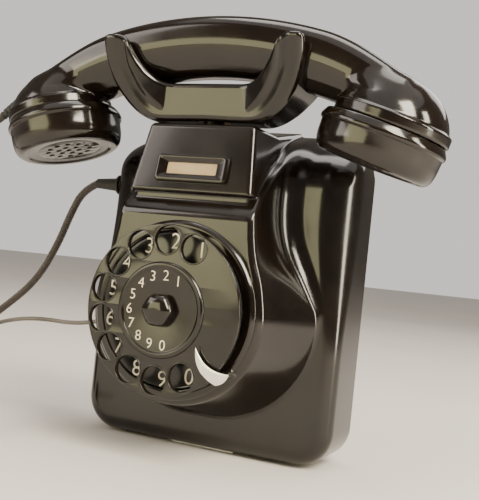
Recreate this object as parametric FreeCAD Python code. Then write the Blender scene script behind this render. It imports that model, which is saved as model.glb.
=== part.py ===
import FreeCAD, Part
import os
from math import atan2, cos, degrees, pi, radians, sin, tan

# Wall telephone with a rotary dial. Millimetres.
# X to the right, -Y towards the user, +Z up. The origin lies on the wall plane,
# behind the middle of the casing.

V = FreeCAD.Vector

# --- driving dimensions -------------------------------------------------------

# casing
BODY_HALF_W = 67.0
BODY_BOTTOM = -100.4
BODY_TOP = 60.0
BODY_FRONT = -34.0
BODY_LOW_R = 17.0
BODY_HIGH_R = 24.0
BODY_EDGE_R = 7.0
WALL = 3.0

# dial bulge: keyhole outline (centre x, centre z, radius, flank points) that tapers towards the user
BULGE_FRONT = -71.4
BULGE_NOSE = (0.5, -32.8, 42.2, ((40.6, -17.0), (36.4, -3.0)))
BULGE_BASE = (7.5, -34.5, 49.0, ((48.3, -14.5), (38.1, 1.5)))
NECK_HALF_W = 34.2
PLATFORM_Z = 15.6
PLATFORM_BACK = -68.0
ROOF_MID = (-40.3, 39.8)
ROOF_BACK_Z = 56.4

# tower under the cradle
TOWER_LOW = (21.0, 31.6, -69.4)
TOWER_HIGH = (62.0, 26.2, -61.25)
TOWER_TOP_FRONT_Z = 53.7
TOWER_TOP_BEND_Y = -34.0
APRON_STEP = 3.0

# label on the tower front
LABEL_W, LABEL_H, LABEL_PROUD = 36.4, 13.0, 2.2
LABEL_WINDOW_W, LABEL_WINDOW_H = 30.4, 7.4
LABEL_Z = 31.8

# dial
DIAL_Z = -32.5
WHEEL_R, WHEEL_FRONT, WHEEL_T = 38.0, -83.1, 2.6
FINGER_HOLE_R, FINGER_PITCH_R = 6.2, 30.9
FINGER_COUNT, FINGER_FIRST_DEG, FINGER_STEP_DEG = 10, 64.8, 25.63
PLATE_FRONT, PLATE_R = -75.0, 34.5
BEZEL_R, BEZEL_FRONT, BEZEL_BORE = 40.6, -73.4, 35.2
DIAL_HOLE_R = 38.0
DISC_R = 21.3
SHAFT_R = 3.0
RUNNING_FIT = 0.05
GEAR_TEETH, PINION_TEETH, GEAR_MODULE = 60, 20, 0.7
PINION_DEG = 225.0
FRAME_FRONT, FRAME_BACK = -69.0, -46.0

# cradle and handset share the plane y = HANDSET_Y; the hook plunger runs a little behind it
HANDSET_Y = -53.0
PLUNGER_Y = -50.0
CRADLE_LOW_Z, CRADLE_HIGH_Z = 55.6, 92.2
CRADLE_LOW_DEPTH, CRADLE_HIGH_DEPTH = 8.5, 22.8
SADDLE_Z = 71.6
PLUNGER_R = 5.0
HANDLE_CZ = -100.0
HANDLE_LOW_R, HANDLE_HIGH_R = 180.0, 204.5
HANDLE_SWEEP_DEG = 27.0
CAP_X, CAP_Z, CAP_TILT_DEG = 79.0, 38.5, 17.0
CAP_H, CAP_R, FLANGE_R, SEAM_H = 18.0, 27.4, 28.2, 5.0
DOME_R, DOME_H, DOME_OFFSET = 25.8, 20.0, 1.8

# cords
FLOOR_Z = -101.5
HANDSET_CORD_R = 2.1
LINE_CORD_R = 1.2
GLAND = V(-66.6, -20, 26.5)
LINE_GLAND = V(-67.0, -8, -47)
HANDSET_COIL_C, HANDSET_COIL_R, HANDSET_COIL_TURNS = (-236.0, -50.0), 24.0, 4.5
LINE_COIL_C, LINE_COIL_R, LINE_COIL_TURNS = (-176.0, -60.0), 14.0, 10.25


# --- helpers ------------------------------------------------------------------

def block(x0, x1, y0, y1, z0, z1):
    return Part.makeBox(x1 - x0, y1 - y0, z1 - z0, V(x0, y0, z0))


def rod(start, end, r):
    return Part.makeCylinder(r, (end - start).Length, start, end - start)


def rod_y(x, z, y0, y1, r):
    return rod(V(x, y0, z), V(x, y1, z), r)


def ring_y(x, z, y0, y1, r_out, r_in):
    return rod_y(x, z, y0, y1, r_out).cut(rod_y(x, z, y0 - 1, y1 + 1, r_in))


def prism_x(points, x0, x1):
    """Polygon of (y, z) points, extruded along X."""
    wire = Part.makePolygon([V(x0, y, z) for y, z in points + points[:1]])
    return Part.Face(wire).extrude(V(x1 - x0, 0, 0))


def prism_y(points, y0, y1):
    """Polygon of (x, z) points, extruded along Y."""
    wire = Part.makePolygon([V(x, y0, z) for x, z in points + points[:1]])
    return Part.Face(wire).extrude(V(0, y1 - y0, 0))


def turned(profile, origin, axis):
    """Solid of revolution; the profile is (radius, distance along the axis)."""
    wire = Part.makePolygon([V(r, 0, s) for r, s in profile + profile[:1]])
    solid = Part.Face(wire).revolve(V(0, 0, 0), V(0, 0, 1), 360)
    solid.Placement = FreeCAD.Placement(origin, FreeCAD.Rotation(V(0, 0, 1), axis))
    return solid


def turned_y(profile, x, z):
    """Solid of revolution about a line along +Y; the profile is (radius, y)."""
    return turned(profile, V(x, 0, z), V(0, 1, 0))


def fuse(shapes):
    solid = shapes[0]
    for shape in shapes[1:]:
        solid = solid.fuse(shape)
    return solid.removeSplitter()


def mirrored(shape):
    return shape.mirror(V(0, 0, 0), V(1, 0, 0))


def both_sides(shape):
    return Part.makeCompound([shape, mirrored(shape)])


def rounded(shape, r, wanted):
    return shape.makeFillet(r, [e for e in shape.Edges if wanted(e)])


def along_y(edge):
    box = edge.BoundBox
    return box.YLength > 1 and box.XLength < 0.01 and box.ZLength < 0.01


def polar(r, deg, cx=0.0, cz=DIAL_Z):
    return cx + r * cos(radians(deg)), cz + r * sin(radians(deg))


def save(name, shape):
    shape.exportStep("parts/" + name + ".step")


# --- casing -------------------------------------------------------------------

def casing_base(inset, back):
    shape = block(-BODY_HALF_W + inset, BODY_HALF_W - inset, BODY_FRONT + inset, back,
                  BODY_BOTTOM + inset, BODY_TOP - inset)
    shape = rounded(shape, BODY_LOW_R - inset, lambda e: along_y(e) and e.CenterOfMass.z < 0)
    shape = rounded(shape, BODY_HIGH_R - inset, lambda e: along_y(e) and e.CenterOfMass.z > 0)
    return rounded(shape, BODY_EDGE_R - inset,
                   lambda e: e.BoundBox.YMax < BODY_FRONT + inset + 0.01)


def keyhole(y, inset, cx, cz, r, flank_points):
    """Bulge outline: straight neck, waisted flanks and a round bottom."""
    r, neck = r - inset, NECK_HALF_W - inset
    low = V(cx, y, cz - r)
    side = V(cx + r * cos(radians(-40)), y, cz + r * sin(radians(-40)))
    hip = V(cx + r * cos(radians(8)), y, cz + r * sin(radians(8)))
    waist = V(neck, y, PLATFORM_Z + 1)
    arc = Part.Arc(low, side, hip).toShape()
    flank = Part.BSplineCurve()
    flank.interpolate(Points=[hip] + [V(x - inset, y, z) for x, z in flank_points] + [waist],
                      InitialTangent=V(-0.14, 0, 1), FinalTangent=V(0, 0, 1))
    top = V(neck, y, BODY_TOP + 5)
    right = [arc, flank.toShape(), Part.LineSegment(waist, top).toShape()]
    left = [mirrored(edge) for edge in right]
    caps = [Part.LineSegment(V(-low.x, y, low.z), low).toShape(),
            Part.LineSegment(V(-top.x, y, top.z), top).toShape()]
    return Part.Wire(Part.__sortEdges__(right + left + caps))


def bulge(inset):
    """Loft from the outline on the casing's front to the smaller one round the dial."""
    wires = [keyhole(BODY_FRONT + 1 + inset, inset, *BULGE_BASE),
             keyhole(BULGE_FRONT + inset, inset, *BULGE_NOSE)]
    return Part.makeLoft(wires, True, True)


def above_roof(drop):
    """Everything above the curved roof that runs from the platform to the wall."""
    start = V(-80, PLATFORM_BACK, PLATFORM_Z - drop)
    middle = V(-80, ROOF_MID[0], ROOF_MID[1] - drop)
    end = V(-80, 0, ROOF_BACK_Z - drop)
    outline = [start, V(-80, -95, PLATFORM_Z - drop), V(-80, -95, 130), V(-80, 5, 130),
               V(-80, 5, ROOF_BACK_Z + 1 - drop), end]
    edges = [Part.Arc(start, middle, end).toShape()]
    edges += [Part.LineSegment(a, b).toShape() for a, b in zip(outline, outline[1:])]
    return Part.Face(Part.Wire(Part.__sortEdges__(edges))).extrude(V(160, 0, 0))


def tower(inset, back):
    """Leaning block that tapers upwards; its roof is level, then rises to the wall."""
    rings = []
    for lift, (z, half, front) in ((inset, TOWER_LOW), (0, TOWER_HIGH)):
        z, half, front = z + lift, half - inset, front + inset
        rings.append(Part.makePolygon([V(-half, front, z), V(half, front, z), V(half, back, z),
                                       V(-half, back, z), V(-half, front, z)]))
    shape = Part.makeLoft(rings, True, True)
    roof = prism_x([(-80, TOWER_TOP_FRONT_Z - inset), (TOWER_TOP_BEND_Y, TOWER_TOP_FRONT_Z - inset),
                    (0, TOWER_HIGH[0] - 1 - inset), (5, TOWER_HIGH[0] - inset), (5, 80), (-80, 80)],
                   -40, 40)
    return shape.cut(roof)


def tower_neck(inset, back, low):
    half, front = TOWER_LOW[1] - APRON_STEP - inset, TOWER_LOW[2] + APRON_STEP + inset
    return block(-half, half, front, back, low, TOWER_LOW[0] + inset + 0.01)


def housing():
    outer = casing_base(0, 0).fuse(bulge(0)).cut(above_roof(0))
    outer = outer.fuse(tower_neck(0, 0, 5)).fuse(tower(0, 0))
    inner = casing_base(WALL, 1).fuse(bulge(WALL)).cut(above_roof(WALL))
    inner = inner.fuse(tower_neck(WALL, 1, 5)).fuse(tower(WALL, 1))
    shell = outer.cut(inner)
    shell = shell.cut(rod_y(0, DIAL_Z, BULGE_FRONT - 2, BULGE_FRONT + WALL + 1, DIAL_HOLE_R))
    shell = shell.cut(rod(V(0, PLUNGER_Y, 45), V(0, PLUNGER_Y, 60), PLUNGER_R + 3))
    shell = shell.cut(rod(GLAND + V(-3, 0, 0), GLAND + V(6, 0, 0), 3.5))
    shell = shell.cut(rod(LINE_GLAND + V(-3, 0, 0), LINE_GLAND + V(6, 0, 0), 2.2))
    shell = shell.cut(block(-17.5, 17.5, -27.4, -25.4, BODY_BOTTOM - 1, BODY_BOTTOM + WALL + 1))
    for x in (-30, 30):
        shell = shell.cut(rod(V(x, -8, BODY_BOTTOM - 1), V(x, -8, BODY_BOTTOM + WALL + 1), 1.7))
        shell = shell.cut(rod(V(x, -8, BODY_BOTTOM - 1), V(x, -8, BODY_BOTTOM + 2), 3.3))
    return shell


def housing_screws():
    screw = rod(V(30, -8, BODY_BOTTOM + 0.2), V(30, -8, BODY_BOTTOM + 2), 3.0)
    screw = screw.fuse(rod(V(30, -8, BODY_BOTTOM + 2), V(30, -8, BODY_BOTTOM + 8), 1.5))
    slot = block(26, 34, -8.4, -7.6, BODY_BOTTOM, BODY_BOTTOM + 0.9)
    return both_sides(screw.cut(slot))


def wall_plate():
    plate = block(-63.2, 63.2, -2, 0, BODY_BOTTOM + 3.4, 49.5)
    plate = rounded(plate, 13.5, along_y)
    flange = block(-40, 40, -14, -2, BODY_BOTTOM + 3.4, BODY_BOTTOM + 5.4)
    plate = plate.fuse(flange)
    for x in (-50, 50):
        for z in (35, -85):
            plate = plate.cut(rod_y(x, z, -3, 1, 2.25))
    for x in (-30, 30):
        plate = plate.cut(rod(V(x, -8, BODY_BOTTOM), V(x, -8, BODY_BOTTOM + 8), 1.55))
    return plate


def bottom_latch():
    tab = block(-17, 17, -27, -25.8, FLOOR_Z + 0.1, -92)
    arm = block(-17, 17, -27, -2, -93.2, -92)
    return tab.fuse(arm).removeSplitter()


def on_tower(shape):
    """Moves a piece made upright at y = 0 onto the leaning front of the tower."""
    run, rise = TOWER_HIGH[2] - TOWER_LOW[2], TOWER_HIGH[0] - TOWER_LOW[0]
    face_y = TOWER_LOW[2] + (LABEL_Z - TOWER_LOW[0]) * run / rise
    tilt = FreeCAD.Rotation(V(1, 0, 0), -degrees(atan2(run, rise)))
    shape.Placement = FreeCAD.Placement(V(0, face_y, LABEL_Z), tilt)
    return shape


def label_frame():
    frame = block(-LABEL_W / 2, LABEL_W / 2, -LABEL_PROUD, 0, -LABEL_H / 2, LABEL_H / 2)
    frame = rounded(frame, 2.0, along_y)
    frame = frame.makeChamfer(0.9, [e for e in frame.Edges if e.BoundBox.YMax < 0.01 - LABEL_PROUD])
    window = block(-LABEL_WINDOW_W / 2, LABEL_WINDOW_W / 2, -5, 1, -LABEL_WINDOW_H / 2, LABEL_WINDOW_H / 2)
    rebate = block(-LABEL_WINDOW_W / 2 - 1, LABEL_WINDOW_W / 2 + 1, -0.9, 1,
                   -LABEL_WINDOW_H / 2 - 1, LABEL_WINDOW_H / 2 + 1)
    return on_tower(frame.cut(window).cut(rebate))


def label_sheet(front, back):
    half_w, half_h = LABEL_WINDOW_W / 2 + 0.9, LABEL_WINDOW_H / 2 + 0.9
    return on_tower(block(-half_w, half_w, front, back, -half_h, half_h))


# --- dial ---------------------------------------------------------------------

def finger_wheel():
    profile = [(SHAFT_R, WHEEL_FRONT + WHEEL_T), (SHAFT_R, WHEEL_FRONT), (WHEEL_R - 1.2, WHEEL_FRONT),
               (WHEEL_R, WHEEL_FRONT + 1.0), (WHEEL_R, WHEEL_FRONT + WHEEL_T)]
    wheel = turned_y(profile, 0, DIAL_Z)
    for i in range(FINGER_COUNT):
        x, z = polar(FINGER_PITCH_R, FINGER_FIRST_DEG + i * FINGER_STEP_DEG)
        wheel = wheel.cut(rod_y(x, z, WHEEL_FRONT - 1, WHEEL_FRONT + WHEEL_T + 1, FINGER_HOLE_R))
    return wheel


def number_disc():
    front = WHEEL_FRONT
    profile = [(SHAFT_R, front), (SHAFT_R, front - 0.7), (18.6, front - 0.7), (19.0, front - 1.3),
               (20.6, front - 1.3), (DISC_R, front - 0.6), (DISC_R, front)]
    return turned_y(profile, 0, DIAL_Z)


def centre_knob():
    """Six-sided domed cap over the middle of the wheel."""
    base = WHEEL_FRONT - 0.7
    rings = []
    for r, y in ((7.4, base), (7.2, base - 2.6), (5.2, base - 4.8), (2.6, base - 5.6)):
        corners = [polar(r, 60 * i + 30) for i in range(7)]
        rings.append(Part.makePolygon([V(x, y, z) for x, z in corners]))
    return Part.makeLoft(rings, True, True)


def dial_shaft():
    return rod_y(0, DIAL_Z, WHEEL_FRONT - 0.7, FRAME_BACK + 4, SHAFT_R)


def gear(cx, cz, y0, y1, teeth, phase_deg, bore):
    """Spur gear with straight-sided teeth, thin enough to run with backlash."""
    pitch_r = teeth * GEAR_MODULE / 2
    step = 360.0 / teeth
    root_r, tip_r = pitch_r - 1.15 * GEAR_MODULE, pitch_r + 0.75 * GEAR_MODULE
    points = []
    for i in range(teeth):
        centre = phase_deg + i * step
        for r, share in ((root_r, -0.26), (tip_r, -0.12), (tip_r, 0.12), (root_r, 0.26)):
            points.append(polar(r, centre + share * step, cx, cz))
    return prism_y(points, y0, y1).cut(rod_y(cx, cz, y0 - 1, y1 + 1, bore))


def pinion_centre():
    return polar((GEAR_TEETH + PINION_TEETH) * GEAR_MODULE / 2, PINION_DEG)


def main_gear():
    shape = gear(0, DIAL_Z, -60.0, -58.4, GEAR_TEETH, 0, SHAFT_R)
    for i in range(5):
        x, z = polar(12.5, 72 * i)
        shape = shape.cut(rod_y(x, z, -62, -57, 3.6))
    return shape


def spring_drum():
    return ring_y(0, DIAL_Z, -57.0, -49.5, 14.0, SHAFT_R)


def pulse_pinion():
    x, z = pinion_centre()
    pinion = gear(x, z, -60.3, -58.1, PINION_TEETH, 9, 1.0)
    return pinion.fuse(rod_y(x, z, FRAME_FRONT + 0.2, FRAME_BACK + 1.3, 1.5)).removeSplitter()


def pulse_cam():
    """Three-lobed cam on the pinion shaft."""
    x, z = pinion_centre()
    lobes = [ring_y(x, z, -56.0, -53.0, 4.2, 1.5)]
    for i in range(3):
        lx, lz = polar(3.0, 120 * i, x, z)
        lobes.append(rod_y(lx, lz, -56.0, -53.0, 2.4))
    return fuse(lobes).cut(rod_y(x, z, -58, -51, 1.5))


def pulse_contacts():
    """Two leaf springs in an insulating block beside the cam."""
    x, z = pinion_centre()
    holder = block(x - 10.5, x - 6.4, -57, FRAME_BACK - 1.2, z - 9, z - 4)
    leaf = block(x - 7.6, x - 7.0, -56, -53, z - 5, z + 8)
    second = block(x - 9.9, x - 9.3, -56, -53, z - 5, z + 8)
    return fuse([holder, leaf, second])


def dial_frame():
    """Front and back plates joined by three pillars, with bearings for both shafts."""
    x, z = pinion_centre()
    front = rod_y(0, DIAL_Z, FRAME_FRONT, FRAME_FRONT + 1.5, 35.0)
    back = rod_y(0, DIAL_Z, FRAME_BACK, FRAME_BACK + 1.5, 34.5)
    pillars = [rod_y(*polar(30.5, a), FRAME_FRONT + 1.5, FRAME_BACK, 2.5) for a in (0, 95, 290)]
    shape = fuse([front, back] + pillars)
    for cx, cz, r in ((0, DIAL_Z, SHAFT_R), (x, z, 1.5)):
        shape = shape.cut(rod_y(cx, cz, FRAME_FRONT - 1, FRAME_BACK + 3, r + RUNNING_FIT))
    return shape


def number_plate():
    return ring_y(0, DIAL_Z, PLATE_FRONT, PLATE_FRONT + 1.5, PLATE_R, SHAFT_R + 1)


def finger_stop_stem():
    x, z = polar(40.8, -37)
    return rod_y(x, z, WHEEL_FRONT - 2.8, BULGE_FRONT, 1.7)


def dial_bezel():
    profile = [(BEZEL_BORE, BEZEL_FRONT + 0.6), (BEZEL_BORE + 0.8, BEZEL_FRONT), (BEZEL_R - 1.2, BEZEL_FRONT),
               (BEZEL_R, BEZEL_FRONT + 1.2), (BEZEL_R, BULGE_FRONT), (DIAL_HOLE_R, BULGE_FRONT),
               (DIAL_HOLE_R, BULGE_FRONT + 6), (BEZEL_BORE, BULGE_FRONT + 6)]
    return turned_y(profile, 0, DIAL_Z).cut(finger_stop_stem())


def finger_stop():
    """Crescent plate over the edge of the wheel, on a stem outside its rim."""
    y = WHEEL_FRONT - 2.9

    def at(r, deg):
        x, z = polar(r, deg)
        return V(x, y, z)

    tip, low, end = at(24.4, -33.5), at(42.2, -42.0), at(43.4, -31.5)
    edges = [Part.Arc(tip, at(33.0, -40.6), low).toShape(), Part.Arc(low, at(43.9, -36.8), end).toShape(),
             Part.Arc(end, at(34.2, -33.2), tip).toShape()]
    plate = Part.Face(Part.Wire(edges)).extrude(V(0, 1.2, 0))
    return plate.fuse(finger_stop_stem()).removeSplitter()


# --- hook switch --------------------------------------------------------------

def cradle_guide():
    start, end = V(0, PLUNGER_Y, 42), V(0, PLUNGER_Y, 53.5)
    return rod(start, end, PLUNGER_R + 3).cut(rod(start, end, PLUNGER_R + RUNNING_FIT))


def cradle_plunger():
    return rod(V(0, PLUNGER_Y, 30), V(0, PLUNGER_Y, 62), PLUNGER_R)


def switch_bracket():
    shelf = block(-12, 12, -56, -2, 8, 11.5)
    ear = block(8, 10, -26, -14, 11.5, 31)
    pivot = rod(V(-13, -20, 26), V(13, -20, 26), 1.5)
    return fuse([shelf, ear, mirrored(ear)]).cut(pivot)


def lever_pin():
    return rod(V(-11, -20, 26), V(11, -20, 26), 1.5)


def switch_lever():
    arm = block(-5, 5, -56, -15, 26.6, 29.6)
    hub = rod(V(-6, -20, 26), V(6, -20, 26), 4.0)
    return fuse([arm, hub]).cut(rod(V(-13, -20, 26), V(13, -20, 26), 1.5 + RUNNING_FIT))


def lever_spring():
    """Compression spring that lifts the lever and the cradle."""
    helix = Part.makeHelix(2.6, 13.0, 3.2)
    section = Part.Wire(Part.makeCircle(0.45, V(3.2, 0, 0), V(0, 1, 0)))
    coil = Part.Wire(helix).makePipeShell([section], True, True)
    coil.translate(V(0, -42, 12.1))
    return coil


def hook_contacts():
    leaves = [block(14.5, 19.5, -46, -6, z, z + 0.5) for z in (17, 22, 27)]
    return fuse([block(14, 20, -16, -2, 13, 32)] + leaves)


# --- ringer and circuit -------------------------------------------------------

GONG_X, GONG_Z, GONG_R = 27.0, -66.0, 24.0


def gong():
    profile = [(2.1, -17.2), (14, -17.2), (20.5, -15.4), (GONG_R, -10), (GONG_R, -5), (GONG_R - 1.2, -5),
               (GONG_R - 1.2, -9.6), (19.8, -14.4), (13.7, -16), (2.1, -16)]
    return turned_y(profile, GONG_X, GONG_Z)


def gong_posts():
    post = rod_y(GONG_X, GONG_Z, -16, -2, 4.0).cut(rod_y(GONG_X, GONG_Z, -17, -9, 2.0))
    return both_sides(post)


def gong_screws():
    head = rod_y(GONG_X, GONG_Z, -19.4, -17.2, 4.2)
    shank = rod_y(GONG_X, GONG_Z, -17.2, -10, 1.9)
    slot = block(GONG_X - 6, GONG_X + 6, -20, -18.6, GONG_Z - 0.5, GONG_Z + 0.5)
    return both_sides(head.fuse(shank).cut(slot))


def ringer_frame():
    back = block(-24, 24, -4, -2, -41, -4)
    top = block(-24, 24, -22, -2, -7, -4)
    pin = rod_y(0, -38, -16, -4, 1.2)
    return fuse([back, top, pin])


def ringer_coils():
    return both_sides(rod(V(13, -13, -34), V(13, -13, -7), 7.5))


def clapper():
    """Armature under the coils, with the striker between the gongs."""
    bar = block(-20, 20, -16, -9, -39.6, -36.4)
    arm = rod(V(0, -12, -39), V(0, -12, -65), 0.9)
    ball = Part.makeSphere(2.2, V(0, -12, -66))
    return fuse([bar, arm, ball]).cut(rod_y(0, -38, -18, -8, 1.2 + RUNNING_FIT))


def induction_coil():
    body = rod(V(-55, -14, 10), V(-33, -14, 10), 7.5)
    ends = [block(x, x + 3, -24, -2, 0, 20) for x in (-58, -33)]
    return fuse([body] + ends)


def capacitor():
    return rounded(block(32, 58, -20, -2, -8, 28), 2.0, lambda e: e.BoundBox.ZLength > 30)


def terminal_positions():
    return [(x, z) for x in (-53, -44, -35) for z in (-19, -31)]


def terminal_block():
    body = block(-58, -30, -14, -2, -38, -12)
    for x, z in terminal_positions():
        body = body.cut(rod_y(x, z, -15, -6, 1.6))
    return body


def terminal_screws():
    screws = [rod_y(x, z, -16.4, -14, 2.8).fuse(rod_y(x, z, -14, -7, 1.5)) for x, z in terminal_positions()]
    return Part.makeCompound(screws)


# --- cradle -------------------------------------------------------------------

def cradle_outline():
    """Right half of the U seen from the front: bottom, swept horn, tip and saddle."""
    def at(x, z):
        return V(x, -100, z)

    low, side, tip = at(29, CRADLE_LOW_Z), at(50.4, 83), at(50.3, CRADLE_HIGH_Z)
    inner_tip, inner, saddle = at(40.4, CRADLE_HIGH_Z), at(35.2, 85), at(20.8, SADDLE_Z)
    return [Part.LineSegment(at(0, CRADLE_LOW_Z), low).toShape(), Part.Arc(low, at(43.2, 65), side).toShape(),
            Part.LineSegment(side, tip).toShape(), Part.LineSegment(tip, inner_tip).toShape(),
            Part.LineSegment(inner_tip, inner).toShape(), Part.Arc(inner, at(29.8, 77.2), saddle).toShape(),
            Part.LineSegment(saddle, at(0, SADDLE_Z)).toShape()]


def cradle_fork():
    """U-shaped cradle: leaning front and back horns around a channel for the handle."""
    right = cradle_outline()
    outline = Part.Wire(Part.__sortEdges__(right + [mirrored(edge) for edge in right]))
    u_shape = Part.Face(outline).extrude(V(0, 100, 0))
    y = HANDSET_Y
    leaning = prism_x([(y - CRADLE_LOW_DEPTH, CRADLE_LOW_Z), (y + CRADLE_LOW_DEPTH, CRADLE_LOW_Z),
                       (y + CRADLE_HIGH_DEPTH, CRADLE_HIGH_Z), (y - CRADLE_HIGH_DEPTH, CRADLE_HIGH_Z)], -60, 60)
    channel = prism_x([(y - 8, SADDLE_Z), (y + 8, SADDLE_Z), (y + 15.8, 84), (y + 19, 94),
                       (y - 19, 94), (y - 15.8, 84)], -60, 60)
    shape = u_shape.common(leaning).cut(channel)
    return shape.cut(rod(V(0, PLUNGER_Y, CRADLE_LOW_Z - 1), V(0, PLUNGER_Y, 62), PLUNGER_R))


# --- handset ------------------------------------------------------------------

def cap_axis():
    """Foot and upward direction of the right-hand cup's axis."""
    tilt = radians(CAP_TILT_DEG)
    return V(CAP_X, HANDSET_Y, CAP_Z), V(sin(tilt), 0, cos(tilt))


def handle():
    """Bell-shaped section swept round an arc that is centred far below the handset."""
    section = [(-7, HANDLE_LOW_R), (7, HANDLE_LOW_R), (15, HANDLE_LOW_R + 10), (14.4, HANDLE_LOW_R + 20),
               (9, HANDLE_HIGH_R), (-9, HANDLE_HIGH_R), (-14.4, HANDLE_LOW_R + 20), (-15, HANDLE_LOW_R + 10)]
    wire = Part.makePolygon([V(0, HANDSET_Y + y, HANDLE_CZ + r) for y, r in section + section[:1]])
    axis_point = V(0, HANDSET_Y, HANDLE_CZ)
    face = Part.Face(wire).rotate(axis_point, V(0, 1, 0), -HANDLE_SWEEP_DEG)
    return face.revolve(axis_point, V(0, 1, 0), 2 * HANDLE_SWEEP_DEG)


def cup():
    """Domed end of the handset above the seam, with a threaded neck inside the cap."""
    foot, up = cap_axis()
    base = CAP_H + SEAM_H
    outward = V(0, 1, 0).cross(up)
    dome = [(DOME_R * cos(radians(a)), base + DOME_H * sin(radians(a))) for a in range(0, 90, 15)]
    profile = [(0, CAP_H), (DOME_R, CAP_H), (DOME_R, base - 0.6), (DOME_R - 0.5, base)]
    shell = turned(profile + dome[1:] + [(0, base + DOME_H)], foot + outward * DOME_OFFSET, up)
    neck = turned([(0, CAP_H - 11), (24.3, CAP_H - 11), (24.3, CAP_H + 1), (0, CAP_H + 1)], foot, up)
    return shell.fuse(neck)


def cup_cavity():
    foot, up = cap_axis()
    return turned([(0, 0), (21.5, 0), (21.5, CAP_H + 9), (12, CAP_H + 18), (0, CAP_H + 18)], foot, up)


def handset_body():
    shape = handle().fuse(cup()).fuse(mirrored(cup()))
    return shape.cut(cup_cavity()).cut(mirrored(cup_cavity())).removeSplitter()


def cap():
    """Screwed cap with a perforated face."""
    foot, up = cap_axis()
    outer = [(0, 1.0), (16, 1.0), (20, 0), (24.0, 0), (26.2, 1.8), (CAP_R, 6), (CAP_R, CAP_H - 4.6),
             (FLANGE_R, CAP_H - 3.8), (FLANGE_R, CAP_H - 0.8), (CAP_R, CAP_H), (24.5, CAP_H), (24.5, 3.5), (0, 3.5)]
    shape = turned(outer, foot, up)
    across, along = V(0, 1, 0), up.cross(V(0, 1, 0))
    for count, r in ((1, 0), (6, 5.5), (12, 11.0)):
        for i in range(count):
            angle = 2 * pi * i / count
            start = foot + across * (r * cos(angle)) + along * (r * sin(angle))
            shape = shape.cut(rod(start, start + up * 5, 1.2))
    return shape


def capsule():
    foot, up = cap_axis()
    return turned([(0, 4), (20.5, 4), (20.5, 9), (15, 13), (0, 13)], foot, up)


STRAIN_START = V(-106.0, HANDSET_Y, 68.0)
STRAIN_DIRECTION = V(-0.83, 0, -0.56).normalize()
STRAIN_LENGTH = 21.0


def beyond_strain_relief(distance):
    return STRAIN_START + STRAIN_DIRECTION * (STRAIN_LENGTH + distance)


def handset_strain_relief():
    """Ribbed taper at the cord's outlet."""
    profile = [(0, 0), (3.6, 0)]
    for i in range(6):
        s = 4.5 + 2.6 * i
        r = 3.5 - 0.18 * i
        profile += [(r, s), (r, s + 1.4), (r - 0.7, s + 1.6), (r - 0.7, s + 2.4)]
    profile += [(2.3, STRAIN_LENGTH), (0, STRAIN_LENGTH)]
    relief = turned(profile, STRAIN_START, STRAIN_DIRECTION)
    return relief.cut(handset_body())


# --- cords --------------------------------------------------------------------

def rounded_route(points):
    """Straight runs joined by tangent arcs, each as large as its two runs allow."""
    edges, radii, start = [], [], points[0]
    for before, corner, after in zip(points, points[1:], points[2:]):
        into, out = corner - before, after - corner
        half_turn = into.getAngle(out) / 2
        trim = 0.45 * min(into.Length, out.Length)
        radius = trim / tan(half_turn)
        into.normalize()
        out.normalize()
        inward = (out - into).normalize()
        middle = corner + inward * (radius / cos(half_turn) - radius)
        first, last = corner - into * trim, corner + out * trim
        edges.append(Part.LineSegment(start, first).toShape())
        edges.append(Part.Arc(first, middle, last).toShape())
        radii.append(radius)
        start = last
    edges.append(Part.LineSegment(start, points[-1]).toShape())
    return Part.Wire(edges), radii


def cord(name, points, r):
    wire, radii = rounded_route(points)
    section = Part.Wire(Part.makeCircle(r, points[0], points[1] - points[0]))
    tube = wire.makePipeShell([section], True, False)
    ratio = tube.Volume / (pi * r * r * wire.Length)
    print(name, "length", round(wire.Length), "volume ratio", round(ratio, 3),
          "radii", [round(x, 1) for x in radii])
    return tube


def cord_coil(centre, coil_r, turns, r):
    """Outer shape of the wound length: a standing ring, one diameter per turn high."""
    x, y = centre
    height = (turns + 1) * 2 * r
    outer = Part.makeCylinder(coil_r + r, height, V(x, y, FLOOR_Z))
    return outer.cut(Part.makeCylinder(coil_r - r, height, V(x, y, FLOOR_Z)))


def handset_cord_branch():
    """From the gland on the casing's side down to the bottom turn of the coil."""
    x, y = HANDSET_COIL_C
    low = FLOOR_Z + HANDSET_CORD_R
    return [V(-82, -20, 26.5), V(-92, -18.5, 22.5), V(-100, -16.5, 10), V(-108, -15, -9),
            V(-121, -14, -31), V(-143, -15, -50), V(-165, -20, -69), V(-187, -26, -88),
            V(-212, -26.3, low + 0.4), V(x, y + HANDSET_COIL_R, low)]


def handset_cord_riser():
    """From the top turn of the coil up to the strain relief on the handset."""
    x, y = HANDSET_COIL_C
    top = FLOOR_Z + HANDSET_CORD_R * (2 * HANDSET_COIL_TURNS + 1)
    return [V(x, y - HANDSET_COIL_R, top), V(-216, -74.2, top + 2), V(-201, -72, -64), V(-191, -67, -40),
            V(-182, -61.5, -13), V(-169, -57, 14), V(-152, -54, 35), beyond_strain_relief(16),
            beyond_strain_relief(0.3)]


def line_cord_route():
    """From the gland low on the casing's side to the bottom turn of its coil."""
    x, y = LINE_COIL_C
    low = FLOOR_Z + LINE_CORD_R
    return [V(-73, -8, -47), V(-83, -8, -49.8), V(-99, -7, -52.5), V(-119, -5.5, -52.4),
            V(-138, -5, -54.5), V(-156, -5.5, -60), V(-172, -8, -71), V(-183, -14, -86),
            V(-189, -25, -97), V(-190.3, -40, low), V(x - LINE_COIL_R, y, low)]


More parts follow.
